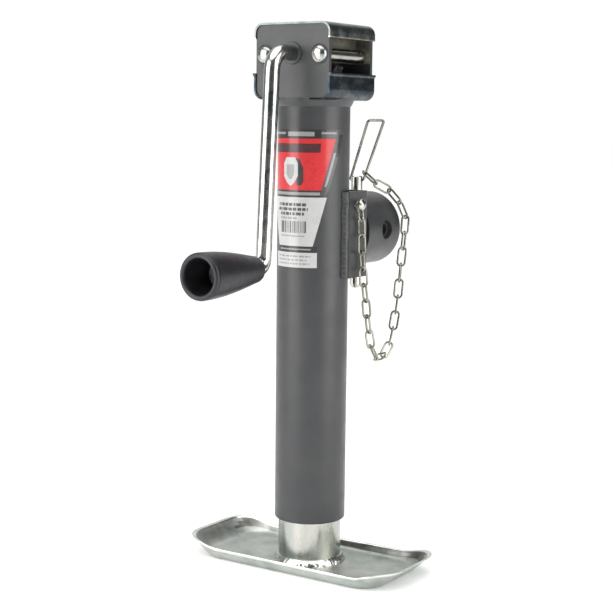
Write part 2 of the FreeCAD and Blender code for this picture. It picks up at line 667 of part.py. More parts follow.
# ---------------------------------------------------------------- write every node
NODES = {
    "outer_tube": outer_tube,
    "head_weld": head_weld,
    "guide_bush": guide_bush,
    "front_plate": lambda: housing_plate(-1),
    "rear_plate": lambda: housing_plate(1),
    "top_cover": top_cover,
    "bottom_cover": bottom_cover,
    "housing_rivets": housing_rivets,
    "rivet_spacers": rivet_spacers,
    "front_shaft_bush": lambda: shaft_bush(-1, SHAFT_R),
    "rear_shaft_bush": lambda: shaft_bush(1, SHAFT_END_R),
    "support_plate": support_plate,
    "screw_bush": screw_bush,
    "upper_race": upper_race,
    "lower_race": lower_race,
    "bearing_balls": bearing_balls,
    "ball_cage": ball_cage,
    "lead_screw": lead_screw,
    "screw_gear": screw_gear,
    "screw_gear_pin": gear_pin_hole,
    "stop_ring": stop_ring,
    "stop_ring_pin": stop_pin,
    "crank_rod": crank_rod,
    "pinion_gear": pinion_gear,
    "pinion_pin": pinion_pin_hole,
    "shaft_washer": shaft_washer,
    "shaft_clip": shaft_clip,
    "grip": grip,
    "grip_push_nut": grip_push_nut,
    "inner_tube": inner_tube,
    "lead_nut": lead_nut,
    "nut_pins": nut_pins,
    "foot_pan": foot_pan,
    "foot_weld": foot_weld,
    "swivel_bracket": swivel_bracket,
    "bracket_welds": bracket_welds,
    "swivel_sleeve": swivel_sleeve,
    "sleeve_weld": sleeve_weld,
    "mounting_stub": mounting_stub,
    "stub_snap_ring": stub_snap_ring,
    "pull_pin": pull_pin,
    "pin_handle": pin_handle,
    "tether_chain": tether_chain,
    "chain_rivet": chain_rivet,
    "label": label,
}

os.makedirs("parts", exist_ok=True)
for name, make in NODES.items():
    made = make()
    shape = Part.makeCompound(made) if isinstance(made, list) else made
    print(f"{name}: {len(shape.Solids)} solid(s), {shape.Volume:.0f} mm3, valid {shape.isValid()}")
    shape.exportStep(f"parts/{name}.step")
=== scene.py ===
"""Looks of the side-wind trailer tongue jack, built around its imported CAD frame. Metres, +Z up."""

import json
import math
import random

import bmesh
import bpy
from mathutils import Matrix, Vector, noise
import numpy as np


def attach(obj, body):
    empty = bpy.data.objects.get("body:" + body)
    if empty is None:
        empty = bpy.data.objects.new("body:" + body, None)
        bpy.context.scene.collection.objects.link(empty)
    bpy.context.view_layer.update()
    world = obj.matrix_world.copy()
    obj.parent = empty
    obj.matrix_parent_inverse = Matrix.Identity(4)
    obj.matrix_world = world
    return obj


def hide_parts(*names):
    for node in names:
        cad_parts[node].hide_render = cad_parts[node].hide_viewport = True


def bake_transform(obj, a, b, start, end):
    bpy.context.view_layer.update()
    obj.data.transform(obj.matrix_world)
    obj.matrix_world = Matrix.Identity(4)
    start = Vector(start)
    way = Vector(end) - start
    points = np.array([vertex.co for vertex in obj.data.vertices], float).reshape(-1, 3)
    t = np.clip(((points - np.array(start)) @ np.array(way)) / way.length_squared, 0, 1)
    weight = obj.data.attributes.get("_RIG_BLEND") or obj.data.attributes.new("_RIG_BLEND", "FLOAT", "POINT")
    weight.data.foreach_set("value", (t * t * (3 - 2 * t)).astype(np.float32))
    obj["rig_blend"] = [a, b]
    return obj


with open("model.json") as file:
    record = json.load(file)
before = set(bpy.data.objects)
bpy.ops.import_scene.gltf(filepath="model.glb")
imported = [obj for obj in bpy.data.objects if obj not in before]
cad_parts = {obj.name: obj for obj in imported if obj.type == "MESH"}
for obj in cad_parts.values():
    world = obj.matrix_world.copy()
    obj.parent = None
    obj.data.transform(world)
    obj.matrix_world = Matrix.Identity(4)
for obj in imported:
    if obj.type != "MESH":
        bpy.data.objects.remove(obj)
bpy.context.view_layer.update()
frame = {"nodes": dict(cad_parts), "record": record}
MM = 0.001
NODES = frame["nodes"]

# The Mix node repeats its socket names for each data type, so its colour sockets go by number.
MIX_A, MIX_B, MIX_RESULT = 6, 7, 2


# ---------------------------------------------------------------- node helpers
class Shader:
    """One Principled material with short calls for the nodes that feed it."""

    def __init__(self, name, **constants):
        self.material = bpy.data.materials.new(name)
        self.material.use_nodes = True
        self.tree = self.material.node_tree
        self.principled = self.tree.nodes["Principled BSDF"]
        self.coords = self.tree.nodes.new("ShaderNodeTexCoord").outputs["Object"]
        for socket, value in constants.items():
            self.principled.inputs[socket.replace("_", " ")].default_value = value

    def stretched(self, scale):
        node = self.tree.nodes.new("ShaderNodeMapping")
        node.inputs["Scale"].default_value = scale
        self.tree.links.new(self.coords, node.inputs["Vector"])
        return node.outputs["Vector"]

    def height(self):
        node = self.tree.nodes.new("ShaderNodeSeparateXYZ")
        self.tree.links.new(self.coords, node.inputs["Vector"])
        return node.outputs["Z"]

    def noise(self, scale, detail=3.0, roughness=0.5, stretch=None):
        node = self.tree.nodes.new("ShaderNodeTexNoise")
        node.inputs["Scale"].default_value = scale
        node.inputs["Detail"].default_value = detail
        node.inputs["Roughness"].default_value = roughness
        vector = self.stretched(stretch) if stretch else self.coords
        self.tree.links.new(vector, node.inputs["Vector"])
        return node.outputs["Fac"]

    def ramp(self, factor, *stops):
        """Colour ramp; each stop is (position, (r, g, b))."""
        node = self.tree.nodes.new("ShaderNodeValToRGB")
        elements = node.color_ramp.elements
        while len(elements) < len(stops):
            elements.new(0.5)
        for element, (position, colour) in zip(elements, stops):
            element.position = position
            element.color = (*colour, 1.0)
        self.tree.links.new(factor, node.inputs["Fac"])
        return node.outputs["Color"]

    def spread(self, factor, low, high, from_low=0.3, from_high=0.7):
        node = self.tree.nodes.new("ShaderNodeMapRange")
        node.inputs["From Min"].default_value = from_low
        node.inputs["From Max"].default_value = from_high
        node.inputs["To Min"].default_value = low
        node.inputs["To Max"].default_value = high
        self.tree.links.new(factor, node.inputs["Value"])
        return node.outputs["Result"]

    def mix(self, factor, first, second, blend="MIX"):
        node = self.tree.nodes.new("ShaderNodeMix")
        node.data_type = "RGBA"
        node.blend_type = blend
        values = {"Factor": factor, MIX_A: first, MIX_B: second}
        for key, value in values.items():
            if isinstance(value, bpy.types.NodeSocket):
                self.tree.links.new(value, node.inputs[key])
            else:
                node.inputs[key].default_value = value
        return node.outputs[MIX_RESULT]

    def bump(self, height, distance, strength=1.0, below=None):
        node = self.tree.nodes.new("ShaderNodeBump")
        node.inputs["Distance"].default_value = distance
        node.inputs["Strength"].default_value = strength
        self.tree.links.new(height, node.inputs["Height"])
        if below:
            self.tree.links.new(below, node.inputs["Normal"])
        return node.outputs["Normal"]

    def feed(self, socket, output):
        self.tree.links.new(output, self.principled.inputs[socket])
        return self


# ---------------------------------------------------------------- materials
def painted_steel():
    """Satin grey powder coat: orange peel, faint blotches and a few rubbed spots."""
    s = Shader("grey_powder_coat", IOR=1.5)
    blotch = s.noise(38, 4, 0.6)
    base = s.ramp(blotch, (0.35, (0.036, 0.037, 0.039)), (0.65, (0.046, 0.047, 0.049)))
    rub = s.ramp(s.noise(230, 5, 0.65), (0.70, (0, 0, 0)), (0.78, (1, 1, 1)))
    s.feed("Base Color", s.mix(rub, base, (0.075, 0.075, 0.078, 1)))
    s.feed("Roughness", s.spread(s.noise(90, 4), 0.31, 0.41))
    peel = s.bump(s.noise(900, 2, 0.4), 0.00006, 0.5)
    s.feed("Normal", s.bump(s.noise(3500, 2), 0.00002, 0.4, peel))
    return s.material


def zinc(name, tones, rough, streak=(1, 1, 1), dents=0.00005):
    """Bright zinc plate: mottled metal with cool and warm patches and fine drawing lines."""
    s = Shader(name, Metallic=1.0)
    patch = s.noise(55, 5, 0.6, streak)
    s.feed("Base Color", s.ramp(patch, (0.30, tones[0]), (0.50, tones[1]), (0.72, tones[2])))
    s.feed("Roughness", s.spread(s.noise(160, 5, 0.6, streak), rough[0], rough[1]))
    lines = s.bump(s.noise(1300, 3, 0.6, streak), 0.00001, 0.35)
    s.feed("Normal", s.bump(s.noise(70, 3, 0.5, streak), dents, 0.6, lines))
    return s.material


def cover_zinc():
    """Blue-passivated sheet of the housing's covers, greyer on the upper cover, with painted shade near black below
    the plates' bottom edge and a painted cream highlight along the upper cover's lower edge.
    """
    s = Shader("zinc_sheet", Metallic=1.0)
    patch = s.noise(75, 6, 0.68, (1, 1, 1.6))
    blue = s.ramp(
        patch,
        (0.34, (0.018, 0.030, 0.044)),
        (0.52, (0.045, 0.062, 0.074)),
        (0.74, (0.17, 0.17, 0.15)),
    )
    grey = s.ramp(
        patch,
        (0.34, (0.10, 0.135, 0.14)),
        (0.50, (0.17, 0.20, 0.20)),
        (0.72, (0.34, 0.34, 0.29)),
    )
    upper = s.spread(s.height(), 0.0, 1.0, 0.398, 0.405)
    # Painted shade: the sheet below the plates' bottom edge turns near black.
    painted_shade_below_plates = s.spread(s.height(), 1.0, 0.0, 0.3762, 0.3766)
    # Painted highlight: a cream band along the upper cover's lower edge.
    edge = s.spread(s.height(), 1.0, 0.0, 0.4219, 0.4225)
    body = s.mix(upper, blue, s.mix(edge, grey, (0.74, 0.71, 0.58, 1)))
    s.feed("Base Color", s.mix(painted_shade_below_plates, body, (0.018, 0.019, 0.021, 1)))
    s.feed("Roughness", s.spread(s.noise(160, 5, 0.6), 0.24, 0.40))
    lines = s.bump(s.noise(1300, 3, 0.6), 0.00001, 0.35)
    s.feed("Normal", s.bump(s.noise(70, 3, 0.5), 0.00005, 0.6, lines))
    return s.material


def painted_light_liner_metal():
    """Dull olive passivated sheet inside the housing, its olive made light as painted light for the lit inside of
    the housing.
    """
    s = Shader("olive_liner_painted_light", Metallic=0.25)
    olive = s.ramp(
        s.noise(60, 5, 0.65, (1, 1, 2.5)),
        (0.32, (0.065, 0.062, 0.045)),
        (0.52, (0.115, 0.11, 0.085)),
        (0.7, (0.21, 0.20, 0.16)),
    )
    s.feed("Base Color", olive)
    s.feed("Roughness", s.spread(s.noise(200, 4), 0.40, 0.60))
    s.feed("Normal", s.bump(s.noise(900, 3), 0.00003, 0.5))
    return s.material


def plain_metal(name, colour, rough, metallic=1.0, grain=900):
    """Turned or cast machine part: darker oily patches over fine grain."""
    s = Shader(name, Metallic=metallic)
    dark = tuple(c * 0.55 for c in colour)
    s.feed("Base Color", s.ramp(s.noise(120, 5, 0.6), (0.32, dark), (0.6, colour)))
    s.feed("Roughness", s.spread(s.noise(grain / 3, 4), rough[0], rough[1]))
    s.feed("Normal", s.bump(s.noise(grain, 3), 0.00003, 0.5))
    return s.material


def black_plastic():
    """Satin injection-moulded plastic with a fine matt texture."""
    s = Shader("black_plastic", IOR=1.5)
    black = s.ramp(s.noise(60, 4), (0.3, (0.007, 0.007, 0.010)), (0.7, (0.011, 0.0105, 0.014)))
    s.feed("Base Color", black)
    s.feed("Roughness", s.spread(s.noise(220, 4), 0.34, 0.48))
    fine = s.bump(s.noise(2600, 2), 0.00003, 0.5)
    s.feed("Normal", s.bump(s.noise(180, 2), 0.00005, 0.3, fine))
    return s.material


def nylon():
    """Natural nylon, off-white and slightly translucent."""
    s = Shader("natural_nylon", IOR=1.5, Subsurface_Weight=0.1)
    s.feed("Base Color", s.ramp(s.noise(80), (0.3, (0.70, 0.68, 0.60)), (0.7, (0.80, 0.78, 0.72))))
    s.feed("Roughness", s.spread(s.noise(300), 0.42, 0.58))
    s.feed("Normal", s.bump(s.noise(1500), 0.00002, 0.4))
    return s.material


def printed(name, colour):
    """Laminated print: slightly uneven ink under a glossy film."""
    s = Shader(name, IOR=1.5, Coat_Weight=0.35, Coat_Roughness=0.12)
    worn = tuple(min(1.0, c * 1.06 + 0.01) for c in colour)
    s.feed("Base Color", s.ramp(s.noise(240, 5, 0.7), (0.35, colour), (0.7, worn)))
    s.feed("Roughness", s.spread(s.noise(140), 0.25, 0.38))
    s.feed("Normal", s.bump(s.noise(260, 2), 0.00003, 0.3))
    return s.material


# Each zinc finish: its cool, middle and warm tones, then its lowest and highest roughness.
ZINC_FINISHES = {
    "zinc_hardware": (((0.30, 0.34, 0.34), (0.52, 0.51, 0.46), (0.56, 0.54, 0.47)), (0.16, 0.28)),
    "zinc_rod": (((0.30, 0.34, 0.34), (0.58, 0.59, 0.57), (0.68, 0.68, 0.64)), (0.12, 0.22)),
    "zinc_tube": (((0.34, 0.39, 0.37), (0.46, 0.47, 0.45), (0.60, 0.58, 0.52)), (0.20, 0.32)),
    "zinc_foot": (((0.33, 0.38, 0.35), (0.46, 0.49, 0.46), (0.57, 0.57, 0.53)), (0.40, 0.56)),
    "zinc_weld": (((0.42, 0.47, 0.44), (0.66, 0.68, 0.64), (0.86, 0.85, 0.80)), (0.16, 0.34)),
    "zinc_wire": (((0.12, 0.13, 0.12), (0.24, 0.24, 0.21), (0.40, 0.38, 0.33)), (0.20, 0.32)),
    "zinc_chain": (((0.16, 0.16, 0.13), (0.32, 0.31, 0.26), (0.58, 0.56, 0.48)), (0.20, 0.34)),
    # Painted highlight: brighter zinc for the foot pan's rolled rim.
    "zinc_rim_painted_highlight": (((0.50, 0.54, 0.50), (0.72, 0.74, 0.70), (0.86, 0.86, 0.82)), (0.16, 0.28)),
    # Painted shade: darker zinc for the foot pan's far inner wall.
    "zinc_far_wall_painted_shade": (((0.12, 0.13, 0.12), (0.24, 0.24, 0.22), (0.38, 0.37, 0.34)), (0.30, 0.44)),
}
SMOOTH_DENTS, WELD_DENTS = 0.00002, 0.0004
DRAWN_STREAK = (1, 1, 0.25)


def zinc_finish(name, **changes):
    """Zinc material of a named finish; changes set its streak or dents."""
    tones, rough = ZINC_FINISHES[name]
    return zinc(name, tones, rough, **changes)


MATERIALS = {
    "grey_paint": painted_steel(),
    "nylon": nylon(),
    "zinc_sheet": cover_zinc(),
    "zinc_hardware": zinc_finish("zinc_hardware"),
    "zinc_rod": zinc_finish("zinc_rod", dents=SMOOTH_DENTS),
    "zinc_tube": zinc_finish("zinc_tube", streak=DRAWN_STREAK),
    "zinc_foot": zinc_finish("zinc_foot"),
    "zinc_weld": zinc_finish("zinc_weld", dents=WELD_DENTS),
    "zinc_wire": zinc_finish("zinc_wire"),
    "zinc_chain": zinc_finish("zinc_chain"),
    "bare_steel": plain_metal("bare_steel", (0.42, 0.42, 0.43), (0.28, 0.42)),
    "bronze": plain_metal("bronze", (0.62, 0.45, 0.26), (0.28, 0.42)),
    "bearing_steel": plain_metal("bearing_steel", (0.66, 0.67, 0.69), (0.08, 0.18)),
    "sintered_iron": plain_metal("sintered_iron", (0.25, 0.25, 0.26), (0.42, 0.60), 0.9, 1600),
    "black_plastic": black_plastic(),
    "label_film": printed("label_red", (0.72, 0.03, 0.04)),
}


def dress(piece, material):
    """Gives a piece one material in place of any it had."""
    piece.data.materials.clear()
    piece.data.materials.append(material)


def smooth(piece, angle=35.0):
    """Smooth shading with sharp edges kept."""
    for polygon in piece.data.polygons:
        polygon.use_smooth = True
    mesh = bmesh.new()
    mesh.from_mesh(piece.data)
    for edge in mesh.edges:
        edge.smooth = len(edge.link_faces) == 2 and edge.calc_face_angle(0.0) < math.radians(angle)
    mesh.to_mesh(piece.data)
    mesh.free()


def dress_cad_nodes():
    """Gives every CAD node the material of its slot in the record."""
    slots = {part["node"]: part["material_slot"] for part in frame["record"]["subparts"]}
    for name, node in NODES.items():
        dress(node, MATERIALS[slots[name]])


dress_cad_nodes()


# ---------------------------------------------------------------- mesh helpers
def new_piece(name, vertices, faces, materials, face_material=None, sharp=35.0):
    """New object with smooth faces; face_material gives each face the number of its material."""
    data = bpy.data.meshes.new(name)
    data.from_pydata(vertices, [], faces)
    for material in materials:
        data.materials.append(material)
    if face_material:
        data.polygons.foreach_set("material_index", face_material)
    data.validate()
    piece = bpy.data.objects.new(name, data)
    bpy.context.scene.collection.objects.link(piece)
    smooth(piece, sharp)
    return piece


def skin(rings, closed_loop=False):
    """Vertices and faces over rings of equal length, capped unless the last ring joins the first."""
    count = len(rings[0])
    vertices = [point for loop in rings for point in loop]
    faces = []
    for i in range(len(rings) if closed_loop else len(rings) - 1):
        low, high = i * count, (i + 1) % len(rings) * count
        for k in range(count):
            following = (k + 1) % count
            faces.append((low + k, low + following, high + following, high + k))
    if not closed_loop:
        faces.append(tuple(range(count - 1, -1, -1)))
        faces.append(tuple(range((len(rings) - 1) * count, len(rings) * count)))
    return vertices, faces


def lathe(profile, count, wobble=None):
    """Rings of an (r, z) profile in millimetres about Z; wobble changes r by angle and height."""
    rings = []
    for r, z in profile:
        loop = []
        for k in range(count):
            angle = 2 * math.pi * k / count
            radius = r + (wobble(angle, r, z) if wobble else 0.0)
            loop.append((radius * math.cos(angle) * MM, radius * math.sin(angle) * MM, z * MM))
        rings.append(loop)
    return rings


# ---------------------------------------------------------------- foot
FOOT_HALF_X, FOOT_HALF_Y = 101.0, 46.0
FOOT_END_FLARE, FOOT_SIDE_FLARE = 18.0, 6.0
FOOT_FLOOR_CORNER, FOOT_RIM_CORNER = 20.0, 27.0
FOOT_TIP, FOOT_LOW_RIM, FOOT_LEVEL_X = 15.5, 10.0, 68.0
FOOT_RISE_END_X = FOOT_HALF_X - 6.0
FOOT_OUTER_INSET, FOOT_INNER_INSET = 0.6, 2.9
FOOT_POINTS = 192
# Materials of the pan by number: plain, a painted highlight on the rim, painted shade on the far inner wall.
FOOT_PLAIN, FOOT_PAINTED_HIGHLIGHT, FOOT_PAINTED_SHADE = 0, 1, 2
PAINTED_SHADE_WALL_Y, PAINTED_SHADE_WALL_HALF_X = 0.020, 0.092


def ease(t):
    """Smooth step from 0 to 1."""
    t = min(1.0, max(0.0, t))
    return t * t * (3 - 2 * t)


def corner_centre(corner, radius):
    """Centre of the arc that rounds a corner."""
    x, y = corner
    return x - math.copysign(radius, x), y - math.copysign(radius, y)


def on_arc(centre, radius, angle):
    """Point of an arc at an angle."""
    return centre[0] + radius * math.cos(angle), centre[1] + radius * math.sin(angle)


def outline_point(k, count, half_x, half_y, radius):
    """Point k of a rounded rectangle whose corners get half of the points."""
    per_side = count // 4
    side, step = divmod(k, per_side)
    arc = per_side // 2
    straight = per_side - arc
    corners = [(half_x, half_y), (-half_x, half_y), (-half_x, -half_y), (half_x, -half_y)]
    centre = corner_centre(corners[side], radius)
    if step < arc:
        return on_arc(centre, radius, math.radians(90 * (side + step / arc)))
    angle = math.radians(90 * (side + 1))
    start = on_arc(centre, radius, angle)
    end = on_arc(corner_centre(corners[(side + 1) % 4], radius), radius, angle)
    t = (step - arc) / straight
    return start[0] + (end[0] - start[0]) * t, start[1] + (end[1] - start[1]) * t


def pan_point(k, height, inset):
    """Point k of the pan's outline at a height, moved inwards by inset."""
    share = height / FOOT_TIP
    half_x = FOOT_HALF_X - FOOT_END_FLARE * (1 - share) - inset
    half_y = FOOT_HALF_Y - FOOT_SIDE_FLARE * (1 - share) - inset
    corner = FOOT_FLOOR_CORNER + (FOOT_RIM_CORNER - FOOT_FLOOR_CORNER) * share - inset
    return outline_point(k, FOOT_POINTS, half_x, half_y, corner)


def rim_height(x):
    """Height of the rim at x: level along the sides, rising to the tips."""
    rise = ease((abs(x) - FOOT_LEVEL_X) / (FOOT_RISE_END_X - FOOT_LEVEL_X))
    return FOOT_LOW_RIM + (FOOT_TIP - FOOT_LOW_RIM) * rise


def pan_ring(share, inset, drop=0.0):
    """Ring at a share of the rim's height, the rim itself following its rise towards the tips."""
    ring = []
    for k in range(FOOT_POINTS):
        z = share * rim_height(pan_point(k, FOOT_TIP, inset)[0]) - drop
        x, y = pan_point(k, z, inset)
        ring.append((x * MM, y * MM, z * MM))
    return ring


def flat_ring(height, inset):
    """Level ring of the pan's outline."""
    ring = [pan_point(k, height, inset) for k in range(FOOT_POINTS)]
    return [(x * MM, y * MM, height * MM) for x, y in ring]


def add_foot_pan():
    """Drawn pan: rounded lower edge, flared wall, rolled rim and a shallow dished floor."""
    lower_edge = [(0.0, 6.0), (0.0, 3.2), (0.35, 1.6), (1.2, 0.9), (2.6, FOOT_OUTER_INSET)]
    roll = [(0.35, 2.6), (0.08, 2.0), (0.0, 1.4), (0.15, 0.75), (0.6, 0.2), (1.2, 0.0), (1.9, 0.15),
            (2.5, 0.7), (2.85, 1.5)]
    dish = [(4.1, 3.6), (3.4, 5.0), (3.05, 7.0), (3.0, 9.5), (3.0, 18.0)]
    outer = [flat_ring(height, inset) for height, inset in lower_edge]
    outer += [pan_ring(share, FOOT_OUTER_INSET) for share in (0.4, 0.55, 0.68)]
    rim = [pan_ring(1.0, inset, drop) for inset, drop in roll]
    inner = [pan_ring(share, FOOT_INNER_INSET) for share in (0.75, 0.6, 0.48)]
    inner += [flat_ring(height, inset) for height, inset in dish]
    vertices, faces = skin(outer + rim + inner)
    rim_end = len(outer) + len(rim) - 1
    bands = []
    for face in faces:
        loop = face[0] // FOOT_POINTS
        x, y, _ = vertices[face[0]]
        # Painted shade: the upper rings of the far inner wall take the darker zinc.
        far_wall = y > PAINTED_SHADE_WALL_Y and abs(x) < PAINTED_SHADE_WALL_HALF_X
        # Painted highlight: the rim's rings take the brighter zinc.
        if len(outer) <= loop < rim_end:
            bands.append(FOOT_PAINTED_HIGHLIGHT)
        elif rim_end <= loop < rim_end + 3 and far_wall:
            bands.append(FOOT_PAINTED_SHADE)
        else:
            bands.append(FOOT_PLAIN)
    metals = [MATERIALS["zinc_foot"], zinc_finish("zinc_rim_painted_highlight"), zinc_finish("zinc_far_wall_painted_shade")]
    pan = new_piece("foot_pan_pressing", vertices, faces, metals, bands, 50)
    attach(pan, "ram")
    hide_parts("foot_pan")


WELD_ROOT_R = 25.3


def add_foot_weld():
    """Hand-laid bead around the ram's foot: scalloped, uneven and a little pitted."""
    base = [(WELD_ROOT_R, 8.2), (25.9, 8.1), (26.9, 7.3), (27.8, 6.2), (28.5, 5.1), (29.1, 4.0),
            (29.3, 3.0), (WELD_ROOT_R, 3.0)]

    def wobble(angle, r, z):
        if r == WELD_ROOT_R:
            return 0.0
        scallop = 0.10 * math.sin(angle * 44 + 2.0 * math.sin(angle * 5))
        lumps = 1.0 * noise.noise(Vector((math.cos(angle) * 4, math.sin(angle) * 4, z * 0.3)))
        lumps += 0.7 * noise.noise(Vector((math.cos(angle) * 13, math.sin(angle) * 13, z * 0.9)))
        return min(0.6, -0.3 + scallop + lumps * (r - WELD_ROOT_R) / 4)

    vertices, faces = skin(lathe(base, 240, wobble), closed_loop=True)
    bead = new_piece("foot_weld_bead", vertices, faces, [MATERIALS["zinc_weld"]], sharp=60)
    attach(bead, "ram")
    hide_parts("foot_weld")


BEAD_LOW_Z, BEAD_LENGTH, BEAD_STEPS = 236.0, 67.5, 160
BEAD_R, BEAD_PITCH = 4.0, 3.9
BEAD_CENTRE_X, BEAD_CENTRE_Y = 28.95, 1.0
BEAD_BACK_Y = 1.7


def bead_loop(side, z):
    """Round front of a bead at height z, with its flat back against the bracket."""
    ripple = 0.07 * math.sin(z * 2 * math.pi / BEAD_PITCH)
    ripple += 1.1 * noise.noise(Vector((z * 0.09, side * 7, 1)))
    ripple += 0.35 * noise.noise(Vector((z * 0.45, side * 3, 5)))
    outline = []
    for k in range(11):
        angle = math.radians(-12 - 128 * k / 10)
        radius = BEAD_R + ripple if 0 < k < 10 else BEAD_R
        outline.append((BEAD_CENTRE_X + radius * math.cos(angle), BEAD_CENTRE_Y + radius * math.sin(angle)))
    outline += [(28.4, BEAD_BACK_Y), (32.8, BEAD_BACK_Y)]
    return [(side * x * MM, y * MM, z * MM) for x, y in outline]


def add_bracket_welds():
    """Convex beads along both sides of the tube where the swivel bracket meets it."""
    for name, side in (("bracket_weld_left", -1), ("bracket_weld_right", 1)):
        heights = [BEAD_LOW_Z + BEAD_LENGTH * step / BEAD_STEPS for step in range(BEAD_STEPS + 1)]
        rings = [bead_loop(side, z) for z in heights]
        vertices, faces = skin(rings)
        bead = new_piece(name, vertices, faces, [MATERIALS["grey_paint"]], sharp=60)
        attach(bead, "jack")
        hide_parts("bracket_welds")


# ---------------------------------------------------------------- housing
RIVET_X, RIVET_Z = 25.0, 409.0
RIVET_FACE = 31.775
RIVET_POINTS = 40


def rivet_half():
    """Profile of one end of a rivet from its dome's crown out to its collar."""
    turns = [math.radians(degrees) for degrees in range(4, 91, 6)]
    dome = [(6.7 * math.sin(turn), RIVET_FACE + 0.7 + 3.8 * math.cos(turn)) for turn in turns]
    collar = [(6.9, RIVET_FACE + 0.6), (7.6, RIVET_FACE + 0.5), (7.9, RIVET_FACE + 0.2),
              (7.9, RIVET_FACE - 0.3)]
    return dome, collar


def add_housing_rivets():
    """Two buttoned rivets, each with a bright domed head and a painted collar at both plates."""
    dome, collar = rivet_half()
    half = dome + collar
    plain_caps = [0, 0]
    shank = [(4.0, RIVET_FACE - 0.4), (4.0, -RIVET_FACE + 0.4)]
    profile = half + shank + [(r, -z) for r, z in half[::-1]]
    bright = [0] * (len(dome) - 1)
    painted = [1] * (len(profile) - 1 - 2 * len(bright))
    index = [band for band in bright + painted + bright for _ in range(RIVET_POINTS)] + plain_caps
    metals = [MATERIALS["zinc_hardware"], MATERIALS["grey_paint"]]
    vertices, faces = skin(lathe(profile, RIVET_POINTS))
    for name, x in (("rivet_left", -RIVET_X), ("rivet_right", RIVET_X)):
        turned = [(x * MM + vx, vz, RIVET_Z * MM - vy) for vx, vy, vz in vertices]
        rivet = new_piece(name, turned, faces, metals, index, 50)
        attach(rivet, "jack")
        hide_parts("housing_rivets")


def add_housing_liners():
    """Bent sheet just inside each side window, behind the rivet's spacer."""
    # Painted light: the sheet's light olive colour stands in for light inside the housing.
    metal = painted_light_liner_metal()
    rear = [(19.2, 28.0), (19.6, 28.4), (33.2, 28.4), (33.2, 27.9), (20.1, 27.9), (19.7, 27.5)]
    plan = rear + [(x, -y) for x, y in reversed(rear)]
    heights = (403.6, 408.0, 414.0, 424.0)
    for name, side in (("liner_left", -1), ("liner_right", 1)):
        rings = [[(side * x * MM, y * MM, z * MM) for x, y in plan] for z in heights]
        vertices, faces = skin(rings)
        liner = new_piece(name, vertices, faces, [metal], sharp=30)
        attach(liner, "jack")


# ---------------------------------------------------------------- grip
GRIP_Z = 247.0
GRIP_START, BARREL_START, BARREL_END, GRIP_MOUTH = 79.2, 80.6, 144.2, 149.0
GRIP_NECK_R, GRIP_SWELL, GRIP_BORE_R = 10.2, 7.3, 6.2
BARREL_STEPS = 24


def barrel():
    """Swelling side of the grip as (radius, distance from the jack's axis)."""
    shares = [step / BARREL_STEPS for step in range(BARREL_STEPS + 1)]
    return [(GRIP_NECK_R + GRIP_SWELL * math.sin(math.pi / 2 * u) ** 1.05,
             BARREL_START + (BARREL_END - BARREL_START) * u) for u in shares]


def add_grip():
    """Barrel-shaped moulded grip with a rolled mouth, a fine band behind it and a deep hollow."""
    small_end = [(GRIP_BORE_R, GRIP_START), (9.0, GRIP_START), (9.9, GRIP_START + 0.5)]
    groove = [(17.5, 144.7), (17.1, 145.0), (17.1, 145.3), (17.5, 145.6)]
    lip = [(17.58, 146.6), (17.3, 147.8), (16.6, 148.6), (15.7, GRIP_MOUTH), (14.7, GRIP_MOUTH),
           (13.9, 148.6), (13.4, 147.6)]
    hollow = [(13.1, 145.0), (12.5, 136.0), (11.9, 128.0), (11.5, 124.0), (10.6, 122.4), (GRIP_BORE_R, 122.0)]
    rings = lathe(small_end + barrel() + groove + lip + hollow, 96)
    vertices, faces = skin(rings, closed_loop=True)
    placed = [(x, -z, GRIP_Z * MM + y) for x, y, z in vertices]
    sleeve = new_piece("grip_sleeve", placed, faces, [MATERIALS["black_plastic"]], sharp=50)
    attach(sleeve, "grip")
    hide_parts("grip")


# ---------------------------------------------------------------- chain
def split_links(mesh):
    """Sorts a chain mesh's faces into its links, each a set of face numbers with the link's middle."""
    grid = bmesh.new()
    grid.from_mesh(mesh)
    grid.faces.ensure_lookup_table()
    waiting = set(range(len(grid.faces)))
    links = []
    while waiting:
        link, edge_faces = set(), [waiting.pop()]
        while edge_faces:
            number = edge_faces.pop()
            link.add(number)
            for edge in grid.faces[number].edges:
                for face in edge.link_faces:
                    if face.index in waiting:
                        waiting.discard(face.index)
                        edge_faces.append(face.index)
        middle = sum((grid.faces[n].calc_center_median() for n in link), Vector()) / len(link)
        links.append((middle, link))
    grid.free()
    return links


def chain_piece(name, mesh, chosen):
    """New object of the chosen faces of a mesh."""
    vertices, faces, places = [], [], {}
    for number in sorted(chosen):
        corners = []
        for v in mesh.polygons[number].vertices:
            if v not in places:
                places[v] = len(vertices)
                vertices.append(tuple(mesh.vertices[v].co))
            corners.append(places[v])
        faces.append(corners)
    piece = new_piece(name, vertices, faces, [MATERIALS["zinc_chain"]], sharp=40)
    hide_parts("tether_chain")
    return piece


# The far leg hangs still above FAR_LEG_TOP_Z and is carried whole by the pin below LOOP_BOTTOM_Z.
FAR_LEG_TOP_Z, LOOP_BOTTOM_Z, LOOP_MIDDLE_Y = 0.212, 0.165, 0.0485


HANDLE_LINKS_MAX_X, HANDLE_LINKS_MIN_Y, HANDLE_LINKS_MIN_Z = 0.034, 0.060, 0.285


def near_handle(middle):
    """True for the links between the handle and the top of the loop."""
    return middle.x < HANDLE_LINKS_MAX_X and middle.y > HANDLE_LINKS_MIN_Y and middle.z > HANDLE_LINKS_MIN_Z


